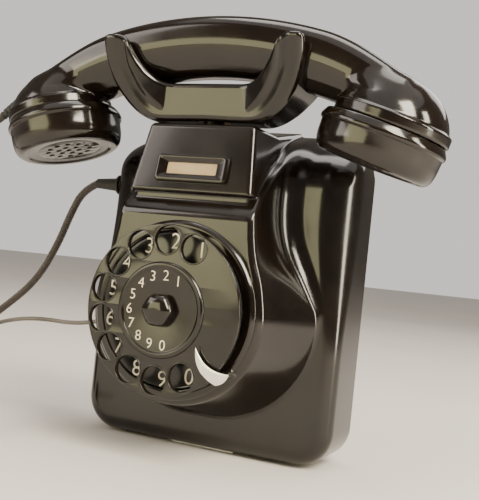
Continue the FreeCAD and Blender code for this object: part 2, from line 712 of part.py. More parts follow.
def line_cord_tail_route():
    """From the top turn of the line cord's coil to the plug on the surface."""
    x, y = LINE_COIL_C
    top = FLOOR_Z + LINE_CORD_R * (2 * LINE_COIL_TURNS + 1)
    return [V(x, y - LINE_COIL_R, top), V(-163, -74.6, top - 1.5), V(-151, -76.5, -83.5),
            V(-141, -79.5, -92), V(-130, -83, -94.5)]


PLUG_DIRECTION = V(0.99, -0.12, 0).normalize()


def line_plug():
    start = V(-130, -83, -94.5)
    profile = [(0, 0), (2.4, 0), (3.4, 9), (6.8, 13), (6.8, 30), (5.8, 31), (0, 31)]
    return turned(profile, start, PLUG_DIRECTION)


def line_plug_pins():
    side = PLUG_DIRECTION.cross(V(0, 0, 1))
    start = V(-130, -83, -94.5) + PLUG_DIRECTION * 31
    pins = [rod(start + side * s, start + side * s + PLUG_DIRECTION * 13, 1.3) for s in (-3.4, 3.4)]
    return Part.makeCompound(pins)


def handset_cord_grommet():
    inner = V(-62.5, GLAND.y, GLAND.z)
    flange = rod(V(-68.2, GLAND.y, GLAND.z), V(-67.0, GLAND.y, GLAND.z), 5.2)
    profile = [(0, 0), (3.5, 0), (3.5, 7), (2.6, 19.5), (0, 19.5)]
    return turned(profile, inner, V(-1, 0, 0)).fuse(flange).removeSplitter()


def line_cord_grommet():
    flange = rod(V(-68.2, LINE_GLAND.y, LINE_GLAND.z), V(-67.0, LINE_GLAND.y, LINE_GLAND.z), 3.4)
    sleeve = rod(V(-63.5, LINE_GLAND.y, LINE_GLAND.z), V(-73, LINE_GLAND.y, LINE_GLAND.z), 2.2)
    return sleeve.fuse(flange).removeSplitter()


# --- all sub-parts ------------------------------------------------------------

def main():
    os.makedirs("parts", exist_ok=True)
    for piece in (housing, housing_screws, wall_plate, bottom_latch, label_frame, finger_wheel, number_disc,
                  centre_knob, dial_shaft, main_gear, spring_drum, pulse_pinion, pulse_cam, pulse_contacts,
                  dial_frame, number_plate, dial_bezel, finger_stop, cradle_guide, cradle_plunger,
                  switch_bracket, lever_pin, switch_lever, lever_spring, hook_contacts, gong_posts,
                  gong_screws, ringer_frame, ringer_coils, clapper, induction_coil, capacitor,
                  terminal_block, terminal_screws, cradle_fork, handset_body, handset_strain_relief,
                  line_plug, line_plug_pins, handset_cord_grommet, line_cord_grommet):
        save(piece.__name__, piece())
    save("label_paper", label_sheet(-0.5, -0.1))
    save("label_window", label_sheet(-0.85, -0.55))
    save("gong_right", gong())
    save("gong_left", mirrored(gong()))
    save("ear_cap", cap())
    save("mouth_cap", mirrored(cap()))
    save("receiver_capsule", capsule())
    save("transmitter_capsule", mirrored(capsule()))
    save("handset_cord", cord("handset_cord", handset_cord_branch(), HANDSET_CORD_R))
    save("handset_cord_riser", cord("handset_cord_riser", handset_cord_riser(), HANDSET_CORD_R))
    save("handset_cord_coil", cord_coil(HANDSET_COIL_C, HANDSET_COIL_R, HANDSET_COIL_TURNS, HANDSET_CORD_R))
    save("line_cord", cord("line_cord", line_cord_route(), LINE_CORD_R))
    save("line_cord_tail", cord("line_cord_tail", line_cord_tail_route(), LINE_CORD_R))
    save("line_cord_coil", cord_coil(LINE_COIL_C, LINE_COIL_R, LINE_COIL_TURNS, LINE_CORD_R))


main()
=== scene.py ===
import math

import bmesh
import bpy
import numpy as np
from mathutils import Matrix, Vector


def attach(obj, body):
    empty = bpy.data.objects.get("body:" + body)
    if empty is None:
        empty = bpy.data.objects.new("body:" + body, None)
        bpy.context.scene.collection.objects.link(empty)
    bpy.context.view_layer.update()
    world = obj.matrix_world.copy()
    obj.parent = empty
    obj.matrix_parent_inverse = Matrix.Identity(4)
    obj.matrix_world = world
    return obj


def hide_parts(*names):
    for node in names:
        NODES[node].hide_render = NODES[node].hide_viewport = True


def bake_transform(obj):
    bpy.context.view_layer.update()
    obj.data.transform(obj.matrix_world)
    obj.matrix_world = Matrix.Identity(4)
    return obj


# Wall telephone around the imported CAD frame.

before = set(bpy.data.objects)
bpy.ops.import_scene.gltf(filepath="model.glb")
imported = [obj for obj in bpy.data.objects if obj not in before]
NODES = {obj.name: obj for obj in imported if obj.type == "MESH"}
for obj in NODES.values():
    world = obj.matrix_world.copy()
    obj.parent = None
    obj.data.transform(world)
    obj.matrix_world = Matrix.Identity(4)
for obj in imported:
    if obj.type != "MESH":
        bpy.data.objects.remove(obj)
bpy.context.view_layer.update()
MM = 0.001

FLOOR_Z = -101.5

DIAL_Z = -32.5
WHEEL_FRONT, PLATE_FRONT, BULGE_FRONT = -83.1, -75.0, -71.4
WHEEL_R = 38.0
HOLE_RING_R, FIRST_HOLE_DEG, HOLE_STEP_DEG = 30.9, 64.8, 25.63

HANDSET_Y, PLUNGER_Y = -53.0, -50.0
ARC_CENTRE_Z, ARC_R = -100.0, 180.0
CAP_TILT = math.radians(17.0)
CAP_FOOT = (79.0, 38.5)
DOME_OFFSET = 1.8
SADDLE_Z = 72.8

TOWER_Z, TOWER_TOP = 21.0, 62.0
TOWER_FRONT, TOWER_LEAN = -69.4, 8.15


# --- camera -------------------------------------------------------------------

def add_camera():
    right = Vector((0.908, 0.406, 0.104)).normalized()
    back = Vector((0.410, -0.912, -0.017))
    back = (back - right * back.dot(right)).normalized()
    up = back.cross(right)
    data = bpy.data.cameras.new("camera")
    data.sensor_width, data.lens = 36.0, 61.497
    data.shift_x, data.shift_y = -0.00658, -0.006
    data.clip_start, data.clip_end = 0.01, 50.0
    camera = bpy.data.objects.new("camera", data)
    axes = Matrix((right, up, back)).transposed().to_4x4()
    camera.matrix_world = Matrix.Translation((0.1835, -0.411, -0.0077)) @ axes
    bpy.context.scene.collection.objects.link(camera)
    bpy.context.scene.camera = camera


# --- materials ----------------------------------------------------------------

class Nodes:
    """Small helper that builds one node material."""

    def __init__(self, name):
        self.material = bpy.data.materials.new(name)
        self.material.use_nodes = True
        self.tree = self.material.node_tree
        self.shader = self.tree.nodes["Principled BSDF"]
        self.coords = self.tree.nodes.new("ShaderNodeTexCoord").outputs["Object"]

    def link(self, output, target):
        self.tree.links.new(output, target)

    def set(self, **values):
        for key, value in values.items():
            self.shader.inputs[key.replace("_", " ")].default_value = value
        return self

    def stretched(self, scale):
        node = self.tree.nodes.new("ShaderNodeMapping")
        node.inputs["Scale"].default_value = scale
        self.link(self.coords, node.inputs["Vector"])
        return node.outputs["Vector"]

    def noise(self, scale, detail=4.0, rough=0.55, vector=None):
        node = self.tree.nodes.new("ShaderNodeTexNoise")
        node.inputs["Scale"].default_value = scale
        node.inputs["Detail"].default_value = detail
        node.inputs["Roughness"].default_value = rough
        self.link(vector or self.coords, node.inputs["Vector"])
        return node.outputs["Fac"]

    def wave(self, scale, distortion=0.0, direction="Z", vector=None):
        node = self.tree.nodes.new("ShaderNodeTexWave")
        node.bands_direction = direction
        node.inputs["Scale"].default_value = scale
        node.inputs["Distortion"].default_value = distortion
        self.link(vector or self.coords, node.inputs["Vector"])
        return node.outputs["Fac"]

    def spread(self, value, low, high, a=0.0, b=1.0):
        node = self.tree.nodes.new("ShaderNodeMapRange")
        for key, number in zip(("From Min", "From Max", "To Min", "To Max"), (low, high, a, b)):
            node.inputs[key].default_value = number
        self.link(value, node.inputs["Value"])
        return node.outputs["Result"]

    def combine(self, operation, a, b):
        node = self.tree.nodes.new("ShaderNodeMath")
        node.operation = operation
        for socket, value in zip(node.inputs, (a, b)):
            if isinstance(value, (int, float)):
                socket.default_value = value
            else:
                self.link(value, socket)
        return node.outputs[0]

    def ramp(self, value, stops):
        node = self.tree.nodes.new("ShaderNodeValToRGB")
        elements = node.color_ramp.elements
        while len(elements) < len(stops):
            elements.new(0.5)
        for element, (place, colour) in zip(elements, stops):
            element.position, element.color = place, (*colour, 1.0)
        self.link(value, node.inputs["Fac"])
        return node.outputs["Color"]

    def bump(self, height, distance, strength=1.0, before=None):
        node = self.tree.nodes.new("ShaderNodeBump")
        node.inputs["Distance"].default_value = distance
        node.inputs["Strength"].default_value = strength
        self.link(height, node.inputs["Height"])
        if before is not None:
            self.link(before, node.inputs["Normal"])
        return node.outputs["Normal"]

    def finish(self, colour=None, rough=None, normal=None):
        for output, key in ((colour, "Base Color"), (rough, "Roughness"), (normal, "Normal")):
            if output is not None:
                self.link(output, self.shader.inputs[key])
        return self.material


def bakelite(name, dark, light, rough=(0.10, 0.24), coat=0.1):
    """Near-black brown Bakelite: mottled, polished, with hairline scratches and dust."""
    n = Nodes(name).set(IOR=1.5, Coat_Weight=coat, Coat_Roughness=0.05)
    mottle = n.combine("ADD", n.combine("MULTIPLY", n.noise(55, 6), 0.65),
                       n.combine("MULTIPLY", n.noise(420, 3), 0.35))
    colour = n.ramp(mottle, [(0.35, dark), (0.72, light)])
    scratch_a = n.spread(n.noise(30, 8, 0.75, n.stretched((90, 90, 2.4))), 0.60, 0.74)
    scratch_b = n.spread(n.noise(24, 8, 0.75, n.stretched((2.2, 70, 95))), 0.62, 0.76)
    haze = n.spread(n.noise(18, 5), 0.35, 0.72, rough[0], rough[1])
    marks = n.combine("MULTIPLY", n.combine("ADD", scratch_a, scratch_b), 0.10)
    peel = n.bump(n.noise(160, 2), 0.00002, 0.5)
    normal = n.bump(n.combine("ADD", scratch_a, scratch_b), 0.000006, 0.4, peel)
    return n.finish(colour, n.combine("ADD", haze, marks), normal)


def metal(name, dark, light, rough, stretch=(1, 1, 1), scale=120, bump=0.000004):
    """Bare or plated metal with fine brushing along one direction."""
    n = Nodes(name).set(Metallic=1.0)
    grain = n.noise(scale, 6, 0.6, n.stretched(stretch))
    stain = n.noise(35, 4)
    colour = n.ramp(n.combine("ADD", n.combine("MULTIPLY", grain, 0.5),
                              n.combine("MULTIPLY", stain, 0.5)), [(0.3, dark), (0.7, light)])
    return n.finish(colour, n.spread(stain, 0.3, 0.75, rough[0], rough[1]), n.bump(grain, bump, 0.6))


def moulded(name, dark, light, rough, scale=300, bump=0.00002):
    """Matt moulded or painted surface with a fine grain."""
    n = Nodes(name)
    grain, cloud = n.noise(scale, 5), n.noise(40, 4)
    colour = n.ramp(cloud, [(0.3, dark), (0.7, light)])
    return n.finish(colour, n.spread(cloud, 0.3, 0.7, rough[0], rough[1]), n.bump(grain, bump, 0.7))


def paper_material():
    n = Nodes("card").set(Roughness=0.85)
    fibre = n.noise(900, 6, 0.7, n.stretched((1, 1, 3)))
    colour = n.ramp(n.combine("ADD", n.combine("MULTIPLY", n.noise(60, 4), 0.6),
                              n.combine("MULTIPLY", fibre, 0.4)),
                    [(0.3, (0.78, 0.60, 0.38)), (0.7, (0.93, 0.78, 0.56))])
    return n.finish(colour, None, n.bump(fibre, 0.00003, 0.6))


def window_material():
    n = Nodes("celluloid").set(IOR=1.49, Transmission_Weight=1.0)
    haze = n.noise(70, 5)
    return n.finish(n.ramp(haze, [(0.3, (0.96, 0.93, 0.86)), (0.7, (0.99, 0.98, 0.95))]),
                    n.spread(haze, 0.4, 0.8, 0.03, 0.12), n.bump(haze, 0.00002, 0.3))


def copper_material():
    n = Nodes("enamelled_wire").set(Metallic=0.9)
    turns = n.wave(900, 0.4, "X")
    colour = n.ramp(n.noise(90, 4), [(0.3, (0.30, 0.09, 0.03)), (0.7, (0.62, 0.25, 0.10))])
    return n.finish(colour, n.spread(turns, 0, 1, 0.25, 0.45), n.bump(turns, 0.0001, 0.8))


def braid_material():
    n = Nodes("braided_cotton").set(Sheen_Weight=0.5, Sheen_Roughness=0.4)
    thread = n.noise(2600, 4, 0.6)
    colour = n.ramp(n.combine("ADD", n.combine("MULTIPLY", n.noise(260, 4), 0.5),
                              n.combine("MULTIPLY", thread, 0.5)),
                    [(0.30, (0.010, 0.007, 0.006)), (0.55, (0.030, 0.021, 0.017)),
                     (0.75, (0.075, 0.055, 0.045))])
    return n.finish(colour, n.spread(thread, 0.3, 0.7, 0.45, 0.75), n.bump(thread, 0.00012, 0.8))


def floor_material():
    n = Nodes("floor")
    cloud = n.noise(3, 3)
    colour = n.ramp(cloud, [(0.3, (0.66, 0.62, 0.58)), (0.7, (0.69, 0.65, 0.61))])
    return n.finish(colour, n.spread(cloud, 0.3, 0.7, 0.6, 0.72), n.bump(n.noise(240, 3), 0.00006, 0.4))


def make_bakelites():
    casing = ((0.0030, 0.0020, 0.0014), (0.0095, 0.0060, 0.0040))
    handset = ((0.0034, 0.0022, 0.0015), (0.0105, 0.0064, 0.0042))
    dial = ((0.0030, 0.0022, 0.0018), (0.012, 0.0085, 0.0065))
    enamel = ((0.0022, 0.0020, 0.0018), (0.008, 0.007, 0.006))
    return {
        "casing": bakelite("casing_bakelite", *casing),
        "handset": bakelite("handset_bakelite", *handset, (0.08, 0.20)),
        "dial": bakelite("dial_bakelite", *dial, (0.14, 0.30), 0.05),
        "enamel": bakelite("plate_enamel", *enamel, (0.2, 0.35), 0.0),
    }


def make_metals():
    zinc = ((0.30, 0.30, 0.31), (0.60, 0.60, 0.60))
    nickel = ((0.72, 0.70, 0.66), (0.92, 0.90, 0.86))
    brass = ((0.45, 0.28, 0.09), (0.78, 0.58, 0.26))
    gong = ((0.42, 0.40, 0.36), (0.66, 0.64, 0.58))
    can = ((0.50, 0.50, 0.49), (0.74, 0.74, 0.73))
    return {
        "steel": metal("zinc_plated_steel", *zinc, (0.28, 0.45), (1, 1, 12)),
        "chrome": metal("polished_nickel", *nickel, (0.10, 0.24), (9, 1, 1), 90),
        "brass": metal("brass", *brass, (0.22, 0.40)),
        "gong": metal("gong_steel", *gong, (0.16, 0.32), (1, 9, 1)),
        "can": metal("aluminium_can", *can, (0.30, 0.48), (1, 1, 8)),
        "copper": copper_material(),
    }


def make_matt_materials():
    dark = ((0.010, 0.008, 0.007), (0.035, 0.028, 0.023))
    rubber = ((0.008, 0.007, 0.007), (0.028, 0.025, 0.024))
    sheath = ((0.10, 0.088, 0.075), (0.20, 0.18, 0.16))
    print_ink = ((0.62, 0.54, 0.40), (0.86, 0.78, 0.62))
    return {
        "dark": moulded("dark_plastic", *dark, (0.28, 0.45)),
        "rubber": moulded("black_rubber", *rubber, (0.55, 0.78), 420, 0.00005),
        "line": moulded("grey_cord_sheath", *sheath, (0.32, 0.5), 700, 0.00003),
        "digits": moulded("printed_digits", *print_ink, (0.45, 0.65), 900, 0.00001),
        "card": paper_material(),
        "window": window_material(),
        "braid": braid_material(),
        "floor": floor_material(),
    }


def make_materials():
    return {**make_bakelites(), **make_metals(), **make_matt_materials()}


# --- mesh helpers -------------------------------------------------------------

def add_object(name, points, faces, material, crease=35.0, normals=None):
    """Mesh object from millimetre points."""
    mesh = bpy.data.meshes.new(name)
    mesh.from_pydata((np.asarray(points, float) * MM).tolist(), [], list(faces))
    mesh.validate()
    mesh.materials.append(material)
    mesh.shade_smooth()
    if normals is not None:
        mesh.normals_split_custom_set_from_vertices(normals.tolist())
    elif crease:
        mesh.set_sharp_from_angle(angle=math.radians(crease))
    piece = bpy.data.objects.new(name, mesh)
    bpy.context.scene.collection.objects.link(piece)
    return piece


def place(piece, body, nodes=(), slot="bakelite"):
    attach(piece, body)
    if nodes:
        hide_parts(*nodes)
    return piece


def bands(rows, count, closed=False):
    """Quads between successive rings of count points; a closed stack joins last to first."""
    faces = []
    for i in range(rows if closed else rows - 1):
        j = (i + 1) % rows
        for a in range(count):
            b = (a + 1) % count
            faces.append([i * count + a, i * count + b, j * count + b, j * count + a])
    return faces


def revolved(profile, origin, axis, count=96):
    """Closed solid of revolution; the profile is a closed loop of (radius, distance)."""
    turn = np.array(Vector((0, 0, 1)).rotation_difference(Vector(axis)).to_matrix())
    angles = np.arange(count) * 2 * math.pi / count
    ring = np.stack([np.cos(angles), np.sin(angles)], 1)
    points = []
    for r, s in profile:
        points.append(np.column_stack([ring * max(r, 1e-4), np.full(count, s)]))
    points = np.concatenate(points) @ turn.T + np.array(origin)
    return points, bands(len(profile), count, True)


def softened(profile, radius, steps=3):
    """Closed profile with rounded corners; a corner's third value is its own radius."""
    out = []
    for i, corner in enumerate(profile):
        a, b, c = (Vector(p[:2]) for p in (profile[i - 1], corner, profile[(i + 1) % len(profile)]))
        r = corner[2] if len(corner) > 2 else radius
        trim_a = min(r, (a - b).length * 0.45)
        trim_c = min(r, (c - b).length * 0.45)
        if min(trim_a, trim_c) < 0.02:
            out.append(tuple(b))
            continue
        start, end = b + (a - b).normalized() * trim_a, b + (c - b).normalized() * trim_c
        for k in range(steps + 1):
            t = k / steps
            out.append(tuple(start * (1 - t) ** 2 + b * 2 * t * (1 - t) + end * t * t))
    return out


def lathe(name, profile, origin, axis, material, soft=0.3, count=96, crease=30.0):
    points, faces = revolved(softened(profile, soft), origin, axis, count)
    piece = add_object(name, points, faces, material, crease)
    tidy_poles(piece)
    return piece


def tidy_poles(piece):
    """Merges the points that meet on an axis and turns all faces outwards."""
    data = bmesh.new()
    data.from_mesh(piece.data)
    bmesh.ops.remove_doubles(data, verts=data.verts, dist=2e-6)
    bmesh.ops.dissolve_degenerate(data, dist=1e-7, edges=data.edges)
    bmesh.ops.recalc_face_normals(data, faces=data.faces)
    data.to_mesh(piece.data)
    data.free()


def plate(name, loops, y_front, y_back, material, bevel=0.25, crease=30.0):
    """Flat piece facing the user, made from outlines of (x, z); later loops are holes."""
    curve = bpy.data.curves.new(name, "CURVE")
    curve.dimensions, curve.fill_mode = "2D", "BOTH"
    for loop in loops:
        spline = curve.splines.new("POLY")
        spline.points.add(len(loop) - 1)
        for point, (x, z) in zip(spline.points, loop):
            point.co = (x * MM, z * MM, 0, 1)
        spline.use_cyclic_u = True
    curve.extrude = (y_back - y_front) / 2 * MM - bevel * MM
    curve.bevel_depth, curve.bevel_resolution = bevel * MM, 2
    curve.offset = -bevel * MM
    holder = bpy.data.objects.new(name + "_curve", curve)
    bpy.context.scene.collection.objects.link(holder)
    mesh = bpy.data.meshes.new_from_object(holder.evaluated_get(bpy.context.evaluated_depsgraph_get()))
    bpy.data.objects.remove(holder)
    upright = Matrix.Rotation(math.pi / 2, 4, "X")
    mesh.transform(Matrix.Translation((0, (y_front + y_back) / 2 * MM, 0)) @ upright)
    mesh.name = name
    mesh.materials.clear()
    mesh.materials.append(material)
    piece = bpy.data.objects.new(name, mesh)
    bpy.context.scene.collection.objects.link(piece)
    tidy_poles(piece)
    mesh.shade_smooth()
    mesh.set_sharp_from_angle(angle=math.radians(crease))
    return piece


def circle(cx, cz, r, count=64):
    angles = np.arange(count) * 2 * math.pi / count
    return [(cx + r * math.cos(a), cz + r * math.sin(a)) for a in angles]


def joined(name, pieces):
    for piece in pieces:
        piece.select_set(True)
    with bpy.context.temp_override(active_object=pieces[0], selected_editable_objects=pieces,
                                   selected_objects=pieces, object=pieces[0]):
        bpy.ops.object.join()
    pieces[0].name = name
    return pieces[0]


# --- surfaces from distance fields --------------------------------------------

def smoothstep(value, low, high):
    t = np.clip((value - low) / (high - low), 0, 1)
    return t * t * (3 - 2 * t)


def fillet(a, b, r):
    """Union of two fields with a concave fillet of radius r."""
    return np.maximum(r, np.minimum(a, b)) - np.hypot(np.maximum(r - a, 0), np.maximum(r - b, 0))


def rounded_cut(a, b, r):
    """Intersection of two fields with a convex edge of radius r."""
    return np.minimum(-r, np.maximum(a, b)) + np.hypot(np.maximum(r + a, 0), np.maximum(r + b, 0))


def blurred(table, reach=6, sigma=2.2):
    """Gaussian blur in both directions, which rounds the creases of a distance table."""
    weights = np.exp(-0.5 * (np.arange(-reach, reach + 1) / sigma) ** 2)
    weights /= weights.sum()
    for axis in (0, 1):
        padded = np.pad(table, [(reach, reach) if a == axis else (0, 0) for a in (0, 1)], mode="edge")
        table = sum(w * np.take(padded, np.arange(k, k + table.shape[axis]), axis)
                    for k, w in enumerate(weights))
    return table


def flat_field(outline, margin=12.0, step=0.4):
    """Signed distance to a closed polygon, as a function of (u, v)."""
    corners = np.array(outline, float)
    ends = np.roll(corners, -1, 0)
    low, high = corners.min(0) - margin, corners.max(0) + margin
    us = np.arange(low[0], high[0] + step, step)
    vs = np.arange(low[1], high[1] + step, step)
    u, v = np.meshgrid(us, vs, indexing="ij")
    nearest = np.full(u.shape, 1e9)
    inside = np.zeros(u.shape, bool)
    for (ax, ay), (bx, by) in zip(corners, ends):
        ex, ey = bx - ax, by - ay
        t = np.clip(((u - ax) * ex + (v - ay) * ey) / max(ex * ex + ey * ey, 1e-12), 0, 1)
        nearest = np.minimum(nearest, (u - ax - t * ex) ** 2 + (v - ay - t * ey) ** 2)
        if ay != by:
            crosses = ((ay > v) != (by > v)) & (u < ex * (v - ay) / (by - ay) + ax)
            inside ^= crosses
    table = np.sqrt(nearest) * np.where(inside, -1, 1)
    table = blurred(table)

    def field(pu, pv):
        fu = np.clip((pu - us[0]) / step, 0, len(us) - 1.001)
        fv = np.clip((pv - vs[0]) / step, 0, len(vs) - 1.001)
        iu, iv = fu.astype(int), fv.astype(int)
        tu, tv = fu - iu, fv - iv
        return ((table[iu, iv] * (1 - tu) + table[iu + 1, iv] * tu) * (1 - tv)
                + (table[iu, iv + 1] * (1 - tu) + table[iu + 1, iv + 1] * tu) * tv)

    return field


def gradient(field, points, reach=0.05):
    parts = []
    for axis in range(3):
        shift = np.zeros(3)
        shift[axis] = reach
        ahead, behind = points + shift, points - shift
        parts.append((field(*ahead.T) - field(*behind.T)) / (2 * reach))
    return np.stack(parts, 1)


NORMAL_REACH = 0.45


def crossed_cells(solid):
    """Cells whose eight corners are neither all inside nor all outside."""
    total = np.zeros([n - 1 for n in solid.shape], int)
    for corner in np.ndindex(2, 2, 2):
        total += solid[tuple(slice(d, n - 1 + d) for d, n in zip(corner, solid.shape))]
    return (total > 0) & (total < 8)


def edge_centres(grid, where):
    """Mean of the places where the zero level crosses each cell's edges, in grid units."""
    sums, hits = np.zeros((len(where), 3)), np.zeros(len(where))
    for axis in range(3):
        others = [a for a in range(3) if a != axis]
        for p, q in np.ndindex(2, 2):
            corner = where.copy()
            corner[:, others[0]] += p
            corner[:, others[1]] += q
            after = corner.copy()
            after[:, axis] += 1
            va, vb = grid[tuple(corner.T)], grid[tuple(after.T)]
            cross = (va < 0) != (vb < 0)
            spot = corner.astype(float)
            spot[:, axis] += np.where(cross, va / np.where(cross, va - vb, 1), 0)
            sums[cross] += spot[cross]
            hits[cross] += 1
    return sums / hits[:, None]


def drawn_to_level(field, points, longest, rounds=4):
    """Points moved along the gradient onto the zero level, by at most longest in a round."""
    for _ in range(rounds):
        value, slope = field(*points.T), gradient(field, points)
        steepness = np.maximum((slope ** 2).sum(1), 0.05)
        move = -value[:, None] * slope / steepness[:, None]
        size = np.linalg.norm(move, axis=1)
        points = points + move * np.minimum(1, longest / np.maximum(size, 1e-9))[:, None]
    return points


def crossing_quads(solid, index):
    """One quad for each grid edge that crosses the level, turned outwards."""
    faces = []
    for axis in range(3):
        b, c = (axis + 1) % 3, (axis + 2) % 3
        here, there = [slice(None)] * 3, [slice(None)] * 3
        here[axis], there[axis] = slice(0, -1), slice(1, None)
        s0, s1 = solid[tuple(here)], solid[tuple(there)]
        for flip, mask in ((False, s0 & ~s1), (True, ~s0 & s1)):
            at = np.argwhere(mask)
            at = at[(at[:, b] > 0) & (at[:, c] > 0)]
            quad = []
            for db, dc in ((1, 1), (0, 1), (0, 0), (1, 0)):
                cell = at.copy()
                cell[:, b] -= db
                cell[:, c] -= dc
                quad.append(index[tuple(cell.T)])
            quad = np.stack(quad, 1)
            faces.append(quad[:, ::-1] if flip else quad)
    return np.concatenate(faces)


def surface(name, field, low, high, step, material):
    """Quad mesh of a field's zero level: one point per crossed cell, moved onto the level."""
    axes = [np.arange(a, b + step, step) for a, b in zip(low, high)]
    grid = np.empty([len(a) for a in axes])
    for i, x in enumerate(axes[0]):
        y, z = np.meshgrid(axes[1], axes[2], indexing="ij")
        grid[i] = field(np.full(y.shape, x), y, z)
    solid = grid < 0
    cells = crossed_cells(solid)
    index = np.full(cells.shape, -1)
    index[cells] = np.arange(cells.sum())
    points = edge_centres(grid, np.argwhere(cells)) * step + np.array([a[0] for a in axes])
    points = drawn_to_level(field, points, 0.4 * step)
    faces = crossing_quads(solid, index)
    slope = gradient(field, points, NORMAL_REACH)
    normals = slope / np.maximum(np.linalg.norm(slope, axis=1), 1e-9)[:, None]
    return add_object(name, points, faces.tolist(), material, None, normals)


# --- casing -------------------------------------------------------------------

def keyhole_outline(cx, cz, r, flank_points):
    """Closed outline of the bulge: round bottom, waisted flanks and a straight neck."""
    neck, top = 34.2, 75
    right = [(cx + r * math.cos(a), cz + r * math.sin(a)) for a in np.radians(np.arange(-90, 9, 2.0))]
    before_flank = (right[-1][0] + 0.6, right[-1][1] - 4.5)
    stations = [np.array(p) for p in
                (before_flank, right[-1], *flank_points, (neck, 16.6), (neck, 40), (neck, top))]
    for p0, p1, p2, p3 in zip(stations, stations[1:], stations[2:], stations[3:]):
        for t in np.linspace(0.1, 1, 10):
            right.append(tuple(0.5 * (2 * p1 + (p2 - p0) * t + (2 * p0 - 5 * p1 + 4 * p2 - p3) * t ** 2
                                      + (3 * p1 - p0 - 3 * p2 + p3) * t ** 3)))
    right.append((neck, top))
    return right + [(-x, z) for x, z in reversed(right)]


def roof_circle():
    """Centre and radius of the side view's roof line, through three of its points (y, z)."""
    (ay, az), (by, bz), (cy, cz) = (-68.0, 15.6), (-40.3, 39.8), (0.0, 56.4)
    d = 2 * (ay * (bz - cz) + by * (cz - az) + cy * (az - bz))
    a2, b2, c2 = ay ** 2 + az ** 2, by ** 2 + bz ** 2, cy ** 2 + cz ** 2
    uy = (a2 * (bz - cz) + b2 * (cz - az) + c2 * (az - bz)) / d
    uz = (a2 * (cy - by) + b2 * (ay - cy) + c2 * (by - ay)) / d
    return uy, uz, math.hypot(ay - uy, az - uz)


BULGE_NOSE = flat_field(keyhole_outline(0.5, -32.8, 42.2, ((40.6, -17.0), (36.4, -3.0))), 30)
BULGE_BASE = flat_field(keyhole_outline(7.5, -34.5, 49.0, ((48.3, -14.5), (38.1, 1.5))), 30)
ROOF_Y, ROOF_Z, ROOF_R = roof_circle()


BODY_BOTTOM, BODY_TOP, BODY_HALF, BODY_FRONT = -100.4, 60.0, 67.0, -34.0
LOW_CORNER, HIGH_CORNER = 17.0, 24.0


def body_field(x, y, z):
    """Rounded box with larger corners above and a front edge that widens upwards."""
    ax = np.abs(x)
    corner = np.where(z < -20, LOW_CORNER, HIGH_CORNER)
    half = BODY_HALF + 0.012 * y
    middle, tall = (BODY_BOTTOM + BODY_TOP) / 2, (BODY_TOP - BODY_BOTTOM) / 2
    qx, qz = ax - half + corner, np.abs(z - middle) - tall + corner
    flat = np.hypot(np.maximum(qx, 0), np.maximum(qz, 0)) + np.minimum(np.maximum(qx, qz), 0) - corner
    front = BODY_FRONT - y - 0.7 * np.clip(1 - (ax / BODY_HALF) ** 2, 0, 1)
    r = 7.5 + 9.0 * smoothstep(z, -50, 20)
    return rounded_cut(flat, front, r)


def bulge_field(x, y, z):
    """Dial bulge that widens from its front outline to its base on the body."""
    share = np.clip((y - BULGE_FRONT) / (BODY_FRONT - BULGE_FRONT), -0.05, 1.05)
    share = share * (0.75 + 0.25 * share)
    flat = BULGE_NOSE(x, z) * (1 - share) + BULGE_BASE(x, z) * share
    return rounded_cut(flat * 0.97, BULGE_FRONT - y, 3.2)


def tower_field(x, y, z):
    """Block that carries the label: sides and front lean inwards, the roof rises to the wall."""
    share = (z - TOWER_Z) / (TOWER_TOP - TOWER_Z)
    side = (np.abs(x) - (31.6 - 5.4 * share)) * 0.991
    front = (TOWER_FRONT + TOWER_LEAN * share - y) * 0.981
    block = rounded_cut(side, front, 2.2)
    roof = (z - 53.7 - np.maximum(y - BODY_FRONT, 0) * 7.3 / 34.0) * 0.985
    block = rounded_cut(block, roof, 2.0)
    return rounded_cut(block, TOWER_Z - z, 0.9)


def solid_field(x, y, z):
    """Filled outer shape of the casing."""
    roof = np.hypot(y - ROOF_Y, z - ROOF_Z) - ROOF_R
    base = rounded_cut(body_field(x, y, z), roof, 4.0 + 9.0 * smoothstep(-y, 2, 28))
    bulge = rounded_cut(bulge_field(x, y, z), roof, 1.6)
    blend_r = 1.2 + 9.0 * smoothstep(z, -45, 15)
    shape = fillet(base, bulge, blend_r)
    neck = np.maximum(np.maximum(np.abs(x) - 28.6, -66.4 - y), np.maximum(z - 22.5, 5.0 - z))
    shape = fillet(shape, neck, 0.8)
    return fillet(shape, tower_field(x, y, z), 1.0)


WALL = 3.0


def housing_field(x, y, z):
    """Shell open at the back, with the dial well, the plunger hole and small openings."""
    outer = solid_field(x, y, z)
    shell = rounded_cut(outer, -(outer + WALL), 0.3)
    shell = rounded_cut(shell, y, 0.6)
    dial = np.maximum(np.hypot(x, z - DIAL_Z) - WHEEL_R, y + 60)
    shell = rounded_cut(shell, -dial, 0.6)
    plunger = np.maximum(np.hypot(x, y - PLUNGER_Y) - 8.0, 40.0 - z)
    shell = rounded_cut(shell, -plunger, 0.6)
    gland = np.maximum(np.hypot(y + 20.0, z - 26.5) - 3.6, x + 50)
    line = np.maximum(np.hypot(y + 8.0, z + 47.0) - 2.3, x + 50)
    latch = np.maximum(np.maximum(np.abs(x) - 17.6, np.abs(y + 26.4) - 1.2), z + 94)
    recess = np.maximum(np.hypot(np.abs(x) - 30.0, y + 8.0) - 3.3, z + 98.4)
    holes = np.minimum(np.minimum(gland, line), np.minimum(latch, recess))
    return np.maximum(shell, -holes)


def make_housing(materials):
    step = 1.0
    piece = surface("housing_shell", housing_field, (-68.5, -73.5, -102.5), (68.5, 1.5, 65), step,
                    materials["casing"])
    place(piece, "casing", ["housing"])


# --- handset ------------------------------------------------------------------

